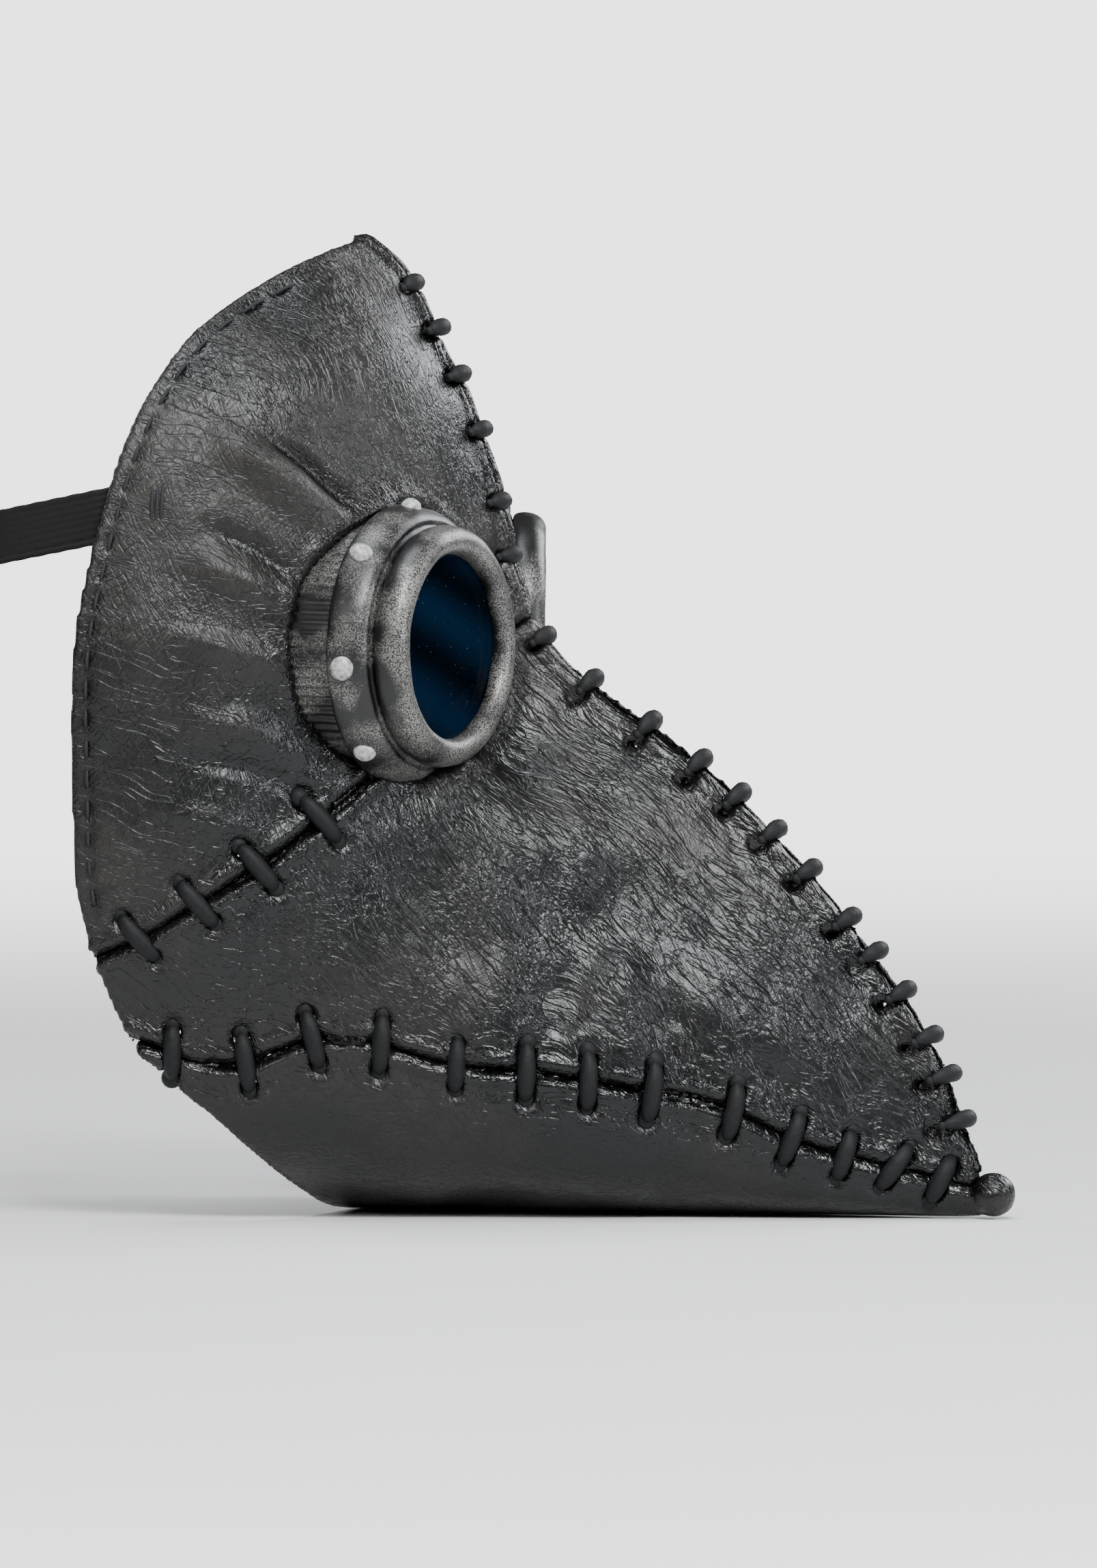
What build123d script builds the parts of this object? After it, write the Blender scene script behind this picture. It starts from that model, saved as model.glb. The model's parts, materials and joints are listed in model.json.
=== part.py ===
"""Plague doctor mask: laced leather panels, a pair of riveted goggles and an elastic head strap.

Frame, millimetres: +X points forward along the beak, +Y to the wearer's left and +Z up.
The origin is in the symmetry plane, at eye height, level with the rearmost edge of the face opening.
Parts on the wearer's right lie at -Y; each left part is the mirror image of the right one.
"""

import os
from math import atan2, cos, degrees, radians, sin, tan

from build123d import *

# ---------------------------------------------------------------- driving dimensions
WALL = 2.6  # thickness of every panel
FLOOR_Z = -158.0  # underside of the beak
REACH = 130.0  # longer than any half-breadth, for cutting blocks

TIP_CENTRE = (239.8, 0.0, -151.8)  # the blunt knob at the end of the beak
TIP_RADIUS = 6.2

LENS_CENTRE = (95.5, -44.0, 0.0)  # right lens, centre of its front face
TOE_OUT = radians(15)  # how far the goggles face away from straight ahead
LENS_OPENING_R = 25.5
LENS_R = 27.5
LENS_THICKNESS = 1.5
BEZEL_R = 33.0
BEZEL_SEAT = -4.5  # this height and the next ones are along the goggle's own axis, from the lens's face
BEZEL_CREST = 4.0
FLANGE_R = 38.5
FLANGE_EDGE = -15.5
FLANGE_THICKNESS = 1.8
FLANGE_CLEARANCE = 0.3  # between the flange and the panels where it comes down close to them
COLLAR_R = 36.5
COLLAR_WALL = 3.0
COLLAR_BACK_NOSE = -22.0  # the collar's back end is cut on the slant
COLLAR_BACK_TEMPLE = -38.0
RIVET_HEAD_R = 3.1
RIVET_HEAD_HEIGHT = 2.2
RIVET_SHANK_R = 1.2
RIVET_SHANK_LENGTH = 3.4
RIVET_HEIGHT = -11.5
RIVET_ANGLES = (5, 52, 90, 136, 187, 228, 318)  # degrees round the flange, from the nose side up

CORD_R = 2.3  # lacing cord
CORD_BITE = 2.0  # how far the ends of a stitch pass into the panels
CORD_RISE = 1.0  # how far a stitch's centre line stands proud of the seam
VENT_CENTRE = (71.5, -108.3)  # gap left open in the jaw seam
VENT_LENGTH = 10.5
VENT_HEIGHT = 3.0
HEM_INSET = 4.5  # running stitch, in from the edge of the brow
HEM_SPACING = 8.0
HEM_STITCH = 5.0
HEM_THREAD_R = 0.5
HEM_BITE = 1.0
HEM_START = 0.06  # fractions of the way down the face opening's edge
HEM_END = 0.64

STRAP_WIDTH = 12.7  # half-inch elastic
STRAP_THICKNESS = 1.3
STRAP_SLOPE = radians(12)  # how far the worn strap falls towards the nape
STRAP_HINGE_X = 2.0  # where the loose strap starts to turn
STRAP_HINGE_Z = 36.6
STRAP_HALF_BREADTH = 79.4  # of the loose strap, middle of its thickness
STRAP_STRAIGHT = 12.0
STRAP_DEPTH = 82.0  # of the half ellipse behind the straights
STRAP_GAP = 0.3  # between the loose strap and the sewn tab
TACK_X = 22.7
TAB_MARGIN = 4.0  # strap beyond the tack
TAB_START = 4.0  # from the hinge to where the tab's straight sides start
TACK_HEIGHT = 17.0
TACK_STRANDS = 3
TACK_PITCH = 1.3
TACK_RISE = 0.4
TACK_THREAD_R = 0.6

# Right half of the hull as waterlines: height: [(x, half-breadth), ...] from the ridge to behind the opening.
WATERLINES = {
    118: [(40, 0), (37, 10), (30, 20), (20, 29), (8, 37), (-6, 43), (-22, 47), (-38, 49)],
    104: [(68.6, 0), (65, 9.5), (58, 19.5), (47, 29), (32, 38.5), (14, 47.5), (-6, 54), (-26, 58)],
    88: [(80.7, 0), (77, 12), (70, 24.5), (58.5, 37), (43, 48), (24, 58), (2, 65), (-20, 69)],
    64: [(91.2, 0), (88, 13), (81.5, 27.5), (71, 43), (56.5, 57), (36, 68), (12, 75.5), (-14, 79.5)],
    40: [(98.6, 0), (95, 10.5), (88.5, 24), (79.5, 41), (66.5, 57.5), (44, 73), (16, 82.5), (-12, 86.5)],
    16: [(104.2, 0), (99.5, 8), (93.5, 20), (85.5, 37), (73, 57), (52, 74.5), (21, 86), (-11, 89.5)],
    0: [(113, 0), (105.5, 6), (98, 14.5), (88, 32), (74, 55), (55, 75), (24, 87.5), (-11, 90.5)],
    -20: [(139.5, 0), (124, 6), (108, 13), (95, 23.5), (80, 46), (58, 71.5), (25, 86.5), (-11, 90)],
    -42: [(168, 0), (147, 9.5), (127, 19), (109, 30.5), (90, 47), (62, 69), (27, 84.5), (-11, 89)],
    -70: [(194.7, 0), (172, 12.5), (146, 25), (119, 38), (93, 53.5), (64, 69.5), (28, 81.5), (-11, 87)],
    -98: [(216.5, 0), (192, 14), (165, 28), (135, 41.5), (103, 54), (69, 65.5), (30, 74.5), (-11, 81)],
    -122: [(229, 0), (206, 12), (178, 25.5), (146, 39), (112, 50), (76, 59.5), (34, 68.5), (-11, 75)],
    -142: [(236.6, 0), (214, 9.5), (186, 21), (153, 33), (118, 43.5), (80, 52), (38, 59), (-11, 65)],
    -160: [(243, 0), (220, 8), (190, 17), (156, 27.5), (121, 37), (82, 45), (40, 51.5), (-11, 56)],
}

# Curves of the side view, (x, z).
FACE_OPENING = [
    (60.5, 111.5), (48.4, 104.3), (37.7, 97.7), (27.8, 88.2), (20.3, 76.8), (14.5, 63.5),
    (9.1, 44.5), (5.1, 25.5), (1.8, 6.5), (0, -16), (0, -45), (1, -68), (5, -87),
    (12.7, -107.5), (31, -126.5), (48.4, -145.5), (57.3, -157.9), (61, -163),
]  # fmt: skip
CHEEK_SEAM = [(-12, -92), (3, -86), (17.6, -79.6), (34, -70), (50, -60), (65.5, -47), (78, -34)]
BRIDGE_SEAM = [(97, -4), (108, 7), (125, 16)]  # carries the cheek seam on past the goggle to the ridge
JAW_SEAM = [
    (-12, -104), (20, -110), (44, -114.5), (60, -108.5), (76, -108), (96, -114), (120, -117),
    (152, -122.7), (171, -127.5), (187, -136), (208, -142.5), (224, -147), (256, -156),
]  # fmt: skip
TROUGH_STATIONS = (4, 20, 40, 62, 85, 108, 130, 152, 174, 194, 212, 226, 236)
TROUGH_ANGLES = (16, 32, 47, 60, 72, 82, 90)  # degrees down each cross-section
SOLID_TIP = 0.95  # the hollow inside the underside stops this far along it
INSET_ROWS = 16  # samples each way when a face is set inwards by a wall's thickness
TROUGH_SQUARENESS = 0.8  # 1 gives elliptical cross-sections, 0 square ones

# Stitches. Ridge: heights. Cheek: x. Jaw: x, length and lean (degrees, positive with the top forward).
RIDGE_STITCHES = (
    98.5, 86.3, 73.4, 58.1, 38.3, 23.5, 1.2, -10.6, -21.9, -32.4, -41.7, -51.6, -62.3, -75.5, -84.9,
    -95.6, -107.8, -118.5, -130.9,
)  # fmt: skip
RIDGE_STITCH_HALF_SPAN = 5.0
CHEEK_STITCHES = (17.6, 34, 50, 65.5)
CHEEK_STITCH_LENGTH = 14.5
CHEEK_STITCH_LEAN = -38
JAW_STITCHES = (
    (24.4, 13.7, 3), (44.3, 16.5, -6), (62.8, 15.5, -12), (80.9, 15.5, 5), (100.7, 13.4, 4),
    (119.3, 15, 3), (135.5, 15.6, 3), (151.9, 16.5, 10), (172.5, 15, 13), (187.3, 14, 21),
    (201, 12, 18), (213.9, 12.5, 34), (226, 12, 25),
)  # fmt: skip


# ---------------------------------------------------------------- helpers
def smooth_face(rows):
    """A smooth face through rows of points."""
    points = [[Vector(*point) for point in row] for row in rows]
    return Face.make_surface_from_array_of_points(points, tol=0.05, min_deg=3)


def surface_hit(face, start, direction):
    """The first point where a ray meets a face, and the face's normal there, towards the ray's start."""
    aim = Vector(*direction).normalized()
    hits = face.find_intersection_points(Axis(Vector(*start), aim))
    point, normal = min(hits, key=lambda hit: (hit[0] - Vector(*start)).dot(aim))
    return point, (normal if normal.dot(aim) < 0 else normal * -1)


def side_hit(face, x, z):
    """The point and outward normal of the right side at a place in the side view."""
    return surface_hit(face, (x, -REACH, z), (0, 1, 0))


def height_on(curve, x):
    """The height of a side-view curve at x."""
    return curve.intersect(Line((x, -2 * REACH), (x, 2 * REACH))).vertices()[0].Y


def side_block(curve, corners):
    """A block across the right half, bounded in the side view by a spline and straight lines."""
    with BuildPart() as block:
        with BuildSketch(Plane.XZ):
            with BuildLine():
                spline = Spline(curve)
                Polyline(spline @ 1, *corners, spline @ 0)
            make_face()
        extrude(amount=REACH)
    return block.part


def thread(first_end, middle, last_end, radius):
    """A round cord bent through three points."""
    with BuildPart() as strand:
        with BuildLine() as route:
            ThreePointArc(first_end, middle, last_end)
        with BuildSketch(Plane(origin=route.line @ 0, z_dir=route.line % 0)):
            Circle(radius)
        sweep()
    return strand.part


def side_stitch(upper_face, lower_face, x, z, length, lean, radius=CORD_R, bite=CORD_BITE, rise=CORD_RISE):
    """A stitch on the right side, centred on (x, z) in the side view."""
    reach = Vector(sin(radians(lean)), 0, cos(radians(lean))) * (length / 2)
    top, top_normal = side_hit(upper_face, x + reach.X, z + reach.Z)
    foot, foot_normal = side_hit(lower_face, x - reach.X, z - reach.Z)
    middle, middle_normal = side_hit(upper_face, x, z)
    return thread(top - top_normal * bite, middle + middle_normal * rise, foot - foot_normal * bite, radius)


def ridge_stitch(z):
    """A stitch over the ridge, square to it, with one foot in each side."""
    below, _ = surface_hit(hull_face, (2 * TIP_CENTRE[0], -0.01, z - 1), (-1, 0, 0))
    crest, _ = surface_hit(hull_face, (2 * TIP_CENTRE[0], -0.01, z), (-1, 0, 0))
    above, _ = surface_hit(hull_face, (2 * TIP_CENTRE[0], -0.01, z + 1), (-1, 0, 0))
    along = (above - below).normalized()
    outward = Vector(along.Z, 0, -along.X)
    start = Vector(crest.X, -RIDGE_STITCH_HALF_SPAN, z) + outward * (4 * CORD_R)
    foot, normal = surface_hit(hull_face, start, outward * -1)
    foot -= normal * CORD_BITE
    return thread(foot, Vector(crest.X, 0, z) + outward * CORD_RISE, Vector(foot.X, -foot.Y, foot.Z), CORD_R)


def save(part, name):
    """Label a finished piece and write its STEP file."""
    part.label = name
    export_step(part, f"parts/{name}.step")


def save_pair(part, name):
    """Write a right-hand piece and its mirror image on the left."""
    save(part, name + "_right")
    save(mirror(part, about=Plane.XZ), name + "_left")


os.makedirs("parts", exist_ok=True)

# ---------------------------------------------------------------- hull and seams
hull_face = smooth_face([[(x, -y, z) for x, y in line] for z, line in sorted(WATERLINES.items())])
jaw_curve = Edge.make_spline([Vector(*point) for point in JAW_SEAM])
cheek_curve = Edge.make_spline([Vector(*point) for point in CHEEK_SEAM])


def trough_row(x):
    """One cross-section of the underside: down from above the jaw seam and in to the keel."""
    seam = height_on(jaw_curve, x)
    above, _ = side_hit(hull_face, x, seam + CORD_BITE)
    edge, _ = side_hit(hull_face, x, seam)
    row = [tuple(above), tuple(edge)]
    for degrees_down in TROUGH_ANGLES:
        turn = radians(degrees_down)
        y = edge.Y * cos(turn) ** TROUGH_SQUARENESS
        row.append((x, y, seam + (FLOOR_Z - seam) * sin(turn) ** TROUGH_SQUARENESS))
    return row


trough_face = smooth_face([trough_row(x) for x in TROUGH_STATIONS])
in_front = side_block(FACE_OPENING, [(280, -163), (280, 111.5)])
above_cheek = side_block(CHEEK_SEAM + BRIDGE_SEAM, [(280, 20), (280, 140), (-12, 140)])
above_jaw = side_block(JAW_SEAM, [(280, -156), (280, 140), (-12, 140)])

# ---------------------------------------------------------------- goggles
goggle = Plane(
    origin=LENS_CENTRE,
    x_dir=(sin(TOE_OUT), cos(TOE_OUT), 0),
    z_dir=(cos(TOE_OUT), -sin(TOE_OUT), 0),
)  # x towards the nose, y up, z out along the line of sight
goggle_section = Plane(origin=LENS_CENTRE, x_dir=goggle.x_dir, z_dir=goggle.y_dir * -1)  # radius, height
goggle_axis = Axis(LENS_CENTRE, goggle.z_dir)
lip_r = LENS_R + 1

with BuildPart() as lens:
    with BuildSketch(goggle.offset(-LENS_THICKNESS)):
        Circle(LENS_R)
    extrude(amount=LENS_THICKNESS)
save_pair(lens.part, "lens")

with BuildPart() as bezel:
    with BuildSketch(goggle_section):
        with BuildLine():
            inner = Line((LENS_OPENING_R, 0), (LENS_OPENING_R, BEZEL_CREST * 0.3))
            outer = Line((BEZEL_R, -1), (BEZEL_R, BEZEL_SEAT))
            ThreePointArc(inner @ 1, ((LENS_OPENING_R + BEZEL_R) / 2 + 0.4, BEZEL_CREST), outer @ 0)
            Polyline(
                outer @ 1,
                (lip_r, BEZEL_SEAT),
                (lip_r, -LENS_THICKNESS),
                (LENS_R, -LENS_THICKNESS),
                (LENS_R, 0),
                inner @ 0,
            )
        make_face()
    revolve(axis=goggle_axis)
save_pair(bezel.part, "goggle_bezel")

skirt_top = (BEZEL_R + 1, BEZEL_SEAT - 1)  # the sloping skirt runs from here to the flange's edge
skirt_foot = (FLANGE_R, FLANGE_EDGE)
skirt_length = ((skirt_foot[0] - skirt_top[0]) ** 2 + (skirt_foot[1] - skirt_top[1]) ** 2) ** 0.5
skirt_out = ((skirt_top[1] - skirt_foot[1]) / skirt_length, (skirt_foot[0] - skirt_top[0]) / skirt_length)
skirt_slope = (skirt_foot[0] - skirt_top[0]) / (skirt_top[1] - skirt_foot[1])


def skirt_radius(height, depth=0.0):
    """The radius of the skirt at a height, at a depth below its outer face."""
    return skirt_top[0] + (skirt_top[1] - height) * skirt_slope - depth / skirt_out[0]


flange_under = BEZEL_SEAT - FLANGE_THICKNESS - 0.6
with BuildPart() as flange:
    with BuildSketch(goggle_section):
        with BuildLine():
            Polyline(
                (LENS_OPENING_R + 0.5, -LENS_THICKNESS),
                (lip_r, -LENS_THICKNESS),
                (lip_r, BEZEL_SEAT),
                (BEZEL_R, BEZEL_SEAT),
                skirt_top,
                skirt_foot,
                (skirt_radius(FLANGE_EDGE, FLANGE_THICKNESS), FLANGE_EDGE),
                (skirt_radius(flange_under, FLANGE_THICKNESS), flange_under),
                (LENS_OPENING_R + 0.5, flange_under),
                close=True,
            )
        make_face()
    revolve(axis=goggle_axis)


def collar_cut(x):
    """The height of the collar's slanted back end at a distance towards the nose."""
    slant = (COLLAR_BACK_NOSE - COLLAR_BACK_TEMPLE) / (2 * COLLAR_R)
    return (COLLAR_BACK_NOSE + COLLAR_BACK_TEMPLE) / 2 + slant * x


collar_inner = COLLAR_R - COLLAR_WALL
with BuildPart() as collar:
    with BuildSketch(goggle_section):
        with BuildLine():
            bevel_drop = collar_inner + FLANGE_THICKNESS / skirt_out[0] - skirt_top[0]
            bevel_height = skirt_top[1] - bevel_drop / skirt_slope
            Polyline(
                (collar_inner, bevel_height),
                (skirt_radius(FLANGE_EDGE, FLANGE_THICKNESS), FLANGE_EDGE),
                (COLLAR_R, FLANGE_EDGE),
                (COLLAR_R, COLLAR_BACK_TEMPLE),
                (collar_inner, COLLAR_BACK_TEMPLE),
                close=True,
            )
        make_face()
    revolve(axis=goggle_axis)
    with BuildSketch(Plane(origin=LENS_CENTRE, x_dir=goggle.x_dir, z_dir=goggle.y_dir * -1)):
        with BuildLine():
            Polyline(
                (-2 * COLLAR_R, collar_cut(-2 * COLLAR_R)),
                (2 * COLLAR_R, collar_cut(2 * COLLAR_R)),
                (2 * COLLAR_R, 4 * COLLAR_BACK_TEMPLE),
                (-2 * COLLAR_R, 4 * COLLAR_BACK_TEMPLE),
                close=True,
            )
        make_face()
    extrude(amount=2 * COLLAR_R, both=True, mode=Mode.SUBTRACT)

with BuildPart() as rivets:
    for angle in RIVET_ANGLES:
        radial = goggle.x_dir * cos(radians(angle)) + goggle.y_dir * sin(radians(angle))
        outward = radial * skirt_out[0] + goggle.z_dir * skirt_out[1]
        seat = goggle.origin + radial * skirt_radius(RIVET_HEIGHT) + goggle.z_dir * RIVET_HEIGHT
        with BuildSketch(Plane(origin=seat, x_dir=outward.cross(goggle.z_dir), z_dir=outward)):
            Circle(RIVET_SHANK_R)
        extrude(amount=-RIVET_SHANK_LENGTH)
        with BuildSketch(Plane(origin=seat, x_dir=outward, z_dir=outward.cross(goggle.z_dir))):
            with BuildLine():
                dome = TangentArc((RIVET_HEAD_HEIGHT, 0), (0, RIVET_HEAD_R), tangent=(0, 1))
                Polyline(dome @ 1, (0, 0), dome @ 0)
            make_face()
        revolve(axis=Axis(seat, outward))
save_pair(rivets.part, "goggle_rivets")

with BuildPart() as riveted_flange:
    add(flange.part)
    add(rivets.part, mode=Mode.SUBTRACT)
save_pair(riveted_flange.part, "goggle_flange")

with BuildPart() as riveted_collar:
    add(collar.part)
    add(rivets.part, mode=Mode.SUBTRACT)
save_pair(riveted_collar.part, "goggle_collar")

bezel_room = BEZEL_R + FLANGE_CLEARANCE
with BuildPart() as goggle_room:
    with BuildSketch(goggle_section):
        with BuildLine():
            Polyline(
                (0, 3 * BEZEL_R),
                (bezel_room, 3 * BEZEL_R),
                (bezel_room, BEZEL_SEAT + FLANGE_CLEARANCE),
                (skirt_top[0] + FLANGE_CLEARANCE, skirt_top[1] + FLANGE_CLEARANCE),
                (FLANGE_R + FLANGE_CLEARANCE, FLANGE_EDGE),
                (COLLAR_R, FLANGE_EDGE),
                (COLLAR_R, 2 * COLLAR_BACK_TEMPLE),
                (0, 2 * COLLAR_BACK_TEMPLE),
                close=True,
            )
        make_face()
    revolve(axis=goggle_axis)
    add(rivets.part)

# ---------------------------------------------------------------- lacing
with BuildPart() as ridge_stitches:
    for z in RIDGE_STITCHES:
        add(ridge_stitch(z))
save(ridge_stitches.part, "ridge_stitches")

with BuildPart() as cheek_stitches:
    for x in CHEEK_STITCHES:
        z = height_on(cheek_curve, x)
        add(side_stitch(hull_face, hull_face, x, z, CHEEK_STITCH_LENGTH, CHEEK_STITCH_LEAN))
save_pair(cheek_stitches.part, "cheek_stitches")

with BuildPart() as jaw_stitches:
    for x, length, lean in JAW_STITCHES:
        z = height_on(jaw_curve, x)
        add(side_stitch(hull_face, trough_face, x, z, length, lean))
save_pair(jaw_stitches.part, "jaw_stitches")


def hem_stitch(x, z, lean):
    """One running stitch, sunk to half its thickness."""
    return side_stitch(hull_face, hull_face, x, z, HEM_STITCH, lean, HEM_THREAD_R, HEM_BITE, 0)


hem_curve = Edge.make_spline([Vector(*point) for point in FACE_OPENING])
hem_count = int(hem_curve.length * (HEM_END - HEM_START) / HEM_SPACING)
with BuildPart() as hem_thread:
    for i in range(hem_count + 1):
        place = HEM_START + (HEM_END - HEM_START) * i / hem_count
        along = hem_curve.tangent_at(place)
        centre = hem_curve.position_at(place) + Vector(-along.Y, along.X) * HEM_INSET
        lean = degrees(atan2(-along.X, -along.Y))
        add(hem_stitch(centre.X, centre.Y, lean))
save_pair(hem_thread.part, "hem_thread")

tack_z = STRAP_HINGE_Z + (TACK_X - STRAP_HINGE_X) * tan(STRAP_SLOPE)
with BuildPart() as strap_tack:
    for i in range(TACK_STRANDS):
        x = TACK_X + (i - (TACK_STRANDS - 1) / 2) * TACK_PITCH
        add(side_stitch(hull_face, hull_face, x, tack_z, TACK_HEIGHT, 0, TACK_THREAD_R, WALL, TACK_RISE))
save_pair(strap_tack.part, "strap_tack")

# ---------------------------------------------------------------- panels
def inset_face(face, depth=WALL, stop=1.0):
    """A face at a depth inside another; with stop under 1 it ends short of the other's last rows."""
    inwards = depth if face.normal_at(face.position_at(0.5, 0.5)).Y > 0 else -depth
    rows = []
    for i in range(INSET_ROWS + 1):
        row = []
        for j in range(INSET_ROWS + 1):
            point = face.position_at(i / INSET_ROWS * stop, j / INSET_ROWS)
            row.append(point + face.normal_at(point) * inwards)
        rows.append(row)
    return smooth_face(rows)


def block_behind(face):
    """Everything on the inner side of a face of the right half, out past the symmetry plane."""
    with BuildPart() as block:
        extrude(face, amount=2 * REACH, dir=(0, 1, 0))
    return block.part


with BuildPart() as tip_knob:
    with Locations(TIP_CENTRE):
        Sphere(TIP_RADIUS)

with BuildPart() as vent:
    with BuildSketch(Plane.XZ):
        with Locations(VENT_CENTRE):
            SlotOverall(VENT_LENGTH, VENT_HEIGHT)
    extrude(amount=REACH)

hull_inside = block_behind(inset_face(hull_face))
with BuildPart() as hull_block:
    add(block_behind(hull_face))
    add(in_front, mode=Mode.INTERSECT)

with BuildPart() as brow_panel:
    add(hull_block.part)
    add(above_cheek, mode=Mode.INTERSECT)
    add(hull_inside, mode=Mode.SUBTRACT)
    add(goggle_room.part, mode=Mode.SUBTRACT)
    for sewing in (ridge_stitches, cheek_stitches, strap_tack, hem_thread):
        for stitch in sewing.part.solids():
            add(stitch, mode=Mode.SUBTRACT)
save_pair(brow_panel.part, "brow_panel")

with BuildPart() as beak_panel:
    add(hull_block.part)
    add(above_cheek, mode=Mode.SUBTRACT)
    add(above_jaw, mode=Mode.INTERSECT)
    add(hull_inside, mode=Mode.SUBTRACT)
    add(goggle_room.part, mode=Mode.SUBTRACT)
    add(tip_knob.part, mode=Mode.SUBTRACT)
    add(vent.part, mode=Mode.SUBTRACT)
    for sewing in (ridge_stitches, cheek_stitches, jaw_stitches):
        for stitch in sewing.part.solids():
            add(stitch, mode=Mode.SUBTRACT)
save_pair(beak_panel.part, "beak_panel")

with BuildPart() as under_half:
    add(block_behind(trough_face))
    with BuildSketch(Plane.XZ):
        Rectangle(4 * REACH, 4 * REACH)
    extrude(amount=REACH, mode=Mode.INTERSECT)
    add(in_front, mode=Mode.INTERSECT)
    add(above_jaw, mode=Mode.SUBTRACT)
    add(block_behind(inset_face(trough_face, stop=SOLID_TIP)), mode=Mode.SUBTRACT)
    add(vent.part, mode=Mode.SUBTRACT)
    for stitch in jaw_stitches.part.solids():
        add(stitch, mode=Mode.SUBTRACT)

with BuildPart() as under_beak_panel:
    add(under_half.part)
    mirror(about=Plane.XZ)
    add(tip_knob.part)
save(under_beak_panel.part, "under_beak_panel")

# ---------------------------------------------------------------- strap
with BuildPart() as strap_tab:
    add(block_behind(inset_face(hull_face)))
    slope = Plane(
        origin=(STRAP_HINGE_X, 0, STRAP_HINGE_Z),
        x_dir=(cos(STRAP_SLOPE), 0, sin(STRAP_SLOPE)),
        z_dir=(0, -1, 0),
    )
    tab_length = (TACK_X + TAB_MARGIN - STRAP_HINGE_X) / cos(STRAP_SLOPE)
    with BuildSketch(slope):
        with Locations(((tab_length + TAB_START) / 2, 0)):
            Rectangle(tab_length - TAB_START, STRAP_WIDTH)
        Circle(STRAP_WIDTH / 2 + STRAP_GAP, mode=Mode.SUBTRACT)
    extrude(amount=REACH, mode=Mode.INTERSECT)
    add(block_behind(inset_face(hull_face, WALL + STRAP_THICKNESS)), mode=Mode.SUBTRACT)
    add(strap_tack.part, mode=Mode.SUBTRACT)
save_pair(strap_tab.part, "strap_tab")

strap_plane = Plane(
    origin=(STRAP_HINGE_X, 0, STRAP_HINGE_Z),
    x_dir=(-cos(STRAP_SLOPE), 0, -sin(STRAP_SLOPE)),
    z_dir=(-sin(STRAP_SLOPE), 0, cos(STRAP_SLOPE)),
)
with BuildPart() as strap_band:
    with BuildSketch(strap_plane):
        for offset, mode in ((STRAP_THICKNESS / 2, Mode.ADD), (-STRAP_THICKNESS / 2, Mode.SUBTRACT)):
            half = STRAP_HALF_BREADTH + offset
            front = 0 if mode == Mode.ADD else -1
            with BuildLine():
                back = EllipticalCenterArc(
                    (STRAP_STRAIGHT, 0), STRAP_DEPTH + offset, half, start_angle=-90, arc_size=180
                )
                Polyline(back @ 1, (front, half), (front, -half), back @ 0)
            make_face(mode=mode)
    extrude(amount=STRAP_WIDTH / 2, both=True)
    with BuildSketch(Plane.XZ.offset(STRAP_HALF_BREADTH - STRAP_THICKNESS / 2)):
        with Locations((STRAP_HINGE_X, STRAP_HINGE_Z)):
            Circle(STRAP_WIDTH / 2)
    extrude(amount=STRAP_THICKNESS)
    with BuildSketch(Plane.XZ.offset(-STRAP_HALF_BREADTH - STRAP_THICKNESS / 2)):
        with Locations((STRAP_HINGE_X, STRAP_HINGE_Z)):
            Circle(STRAP_WIDTH / 2)
    extrude(amount=STRAP_THICKNESS)
save(strap_band.part, "strap_band")
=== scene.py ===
"""Plague doctor mask: creased leather panels, laced seams, riveted goggles and an elastic strap."""

import json
from math import atan, cos, pi, radians, sin

import bpy
import numpy as np
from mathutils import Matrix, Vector
from mathutils.bvhtree import BVHTree


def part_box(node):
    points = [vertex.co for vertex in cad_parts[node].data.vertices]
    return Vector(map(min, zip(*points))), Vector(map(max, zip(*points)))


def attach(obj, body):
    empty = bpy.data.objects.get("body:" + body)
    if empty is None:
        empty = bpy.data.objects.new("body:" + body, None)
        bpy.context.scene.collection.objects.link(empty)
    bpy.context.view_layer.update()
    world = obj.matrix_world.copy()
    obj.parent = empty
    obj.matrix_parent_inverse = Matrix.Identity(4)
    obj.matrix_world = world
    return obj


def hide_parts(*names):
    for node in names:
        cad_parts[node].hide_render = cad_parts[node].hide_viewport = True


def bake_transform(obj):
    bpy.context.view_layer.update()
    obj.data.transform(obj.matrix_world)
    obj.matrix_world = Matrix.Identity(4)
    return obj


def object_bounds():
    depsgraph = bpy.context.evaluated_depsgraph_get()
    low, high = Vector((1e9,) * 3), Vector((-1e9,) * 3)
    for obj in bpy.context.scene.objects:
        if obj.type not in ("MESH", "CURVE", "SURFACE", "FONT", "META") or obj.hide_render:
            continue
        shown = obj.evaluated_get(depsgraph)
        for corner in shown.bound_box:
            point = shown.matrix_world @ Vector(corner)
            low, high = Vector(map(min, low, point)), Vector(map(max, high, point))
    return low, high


bl_info = {
    "name": "Plague Doctor Mask",
    "version": (1, 0, 0),
    "blender": (4, 5, 0),
    "location": "View3D > Sidebar > Mask",
    "description": "Builds the leather, lacing, goggles and strap of a plague doctor mask round its frame",
    "category": "Object",
}

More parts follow.
